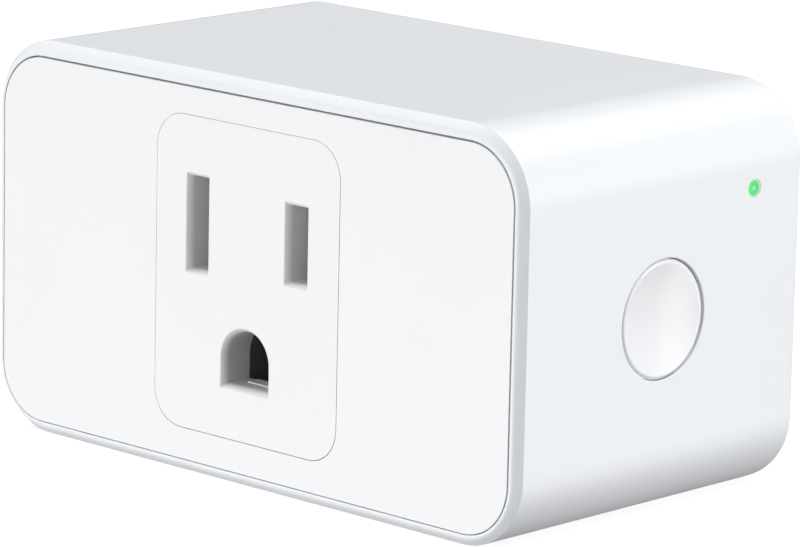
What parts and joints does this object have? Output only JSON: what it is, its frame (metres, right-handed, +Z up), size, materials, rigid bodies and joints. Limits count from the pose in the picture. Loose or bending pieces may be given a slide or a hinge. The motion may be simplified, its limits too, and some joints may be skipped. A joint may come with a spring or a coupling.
{
  "type": "smart plug",
  "caption": "Box-shaped smart plug that passes mains power from wall blades to a grounded socket, with a round side button and a status light.",
  "frame": {"origin": "centre of the flat rear face that meets the wall plate, midway across the case's width and height", "axes": "+X across the width towards the side with the push button, +Y towards the wall along the blades, +Z up"},
  "size_m": [0.0676, 0.059, 0.0378],
  "materials": {
    "case_plastic": "fine satin moulded plastic, cool white",
    "faceplate_plastic": "smooth satin white plate",
    "socket_plastic": "satin white heat-resistant plastic",
    "button_plastic": "satin white moulded plastic",
    "carrier_plastic": "matt grey heat-resistant plastic",
    "plated_brass": "nickel-plated brass, drawn finish",
    "contact_brass": "bare rolled brass",
    "plated_steel": "zinc-plated steel",
    "circuit_board": "green solder mask",
    "black_plastic": "matt black moulded plastic",
    "relay_plastic": "glossy blue relay case",
    "capacitor_sleeve": "shrink sleeve over an aluminium can",
    "film_capacitor_case": "yellow moulded case",
    "ferrite": "matt sintered ferrite",
    "enamelled_copper": "enamelled copper wire",
    "ceramic": "matt ceramic",
    "varistor_coat": "blue epoxy coat",
    "light_pipe_plastic": "clear acrylic, lit green"
  },
  "bodies": {
    "case": {"housing": "case_plastic", "faceplate": "faceplate_plastic", "rear_cover": "case_plastic", "cover_screw_1": "plated_steel", "cover_screw_2": "plated_steel", "cover_screw_3": "plated_steel", "cover_screw_4": "plated_steel", "socket_insert": "socket_plastic", "contact_carrier": "carrier_plastic", "line_contact": "contact_brass", "neutral_contact": "contact_brass", "ground_contact": "contact_brass", "line_blade": "plated_brass", "neutral_blade": "plated_brass", "ground_pin": "plated_brass", "main_board": "circuit_board", "bulk_capacitor_1": "capacitor_sleeve", "bulk_capacitor_2": "capacitor_sleeve", "output_capacitor": "capacitor_sleeve", "inductor_core": "ferrite", "inductor_winding": "enamelled_copper", "power_chip": "black_plastic", "x_capacitor": "film_capacitor_case", "bridge_rectifier": "black_plastic", "current_shunt": "plated_steel", "fusible_resistor": "ceramic", "varistor": "varistor_coat", "relay_base": "black_plastic", "relay_cover": "relay_plastic", "relay_bobbin": "black_plastic", "relay_winding": "enamelled_copper", "relay_core": "plated_steel", "relay_yoke": "plated_steel", "relay_fixed_contact": "contact_brass", "control_board": "circuit_board", "radio_board": "circuit_board", "radio_shield": "plated_steel", "switch_body": "black_plastic", "status_light": "ceramic", "light_pipe": "light_pipe_plastic"},
    "button": {"button_cap": "button_plastic"},
    "plunger": {"switch_plunger": "black_plastic"},
    "armature": {"relay_armature": "plated_steel", "relay_contact_arm": "contact_brass"}
  },
  "joints": [
    {"name": "button_press", "type": "slide", "parent": "case", "child": "button", "axis": [-1, 0, 0], "range_m": [0, 0.0005], "stiffness_N_per_m": 3200, "springref_m": -0.0001},
    {"name": "plunger_press", "type": "slide", "parent": "case", "child": "plunger", "axis": [-1, 0, 0], "range_m": [0, 0.0005]},
    {"name": "armature_tilt", "type": "hinge", "parent": "case", "child": "armature", "pos_m": [-0.0204, -0.0197, 0.0017], "axis": [1, 0, 0], "range_deg": [0, 6], "stiffness_Nm_per_rad": 0.02, "springref_deg": -2.86}
  ],
  "couplings": [
    {"joint": "plunger_press", "follows": "button_press", "ratio": 1}
  ]
}
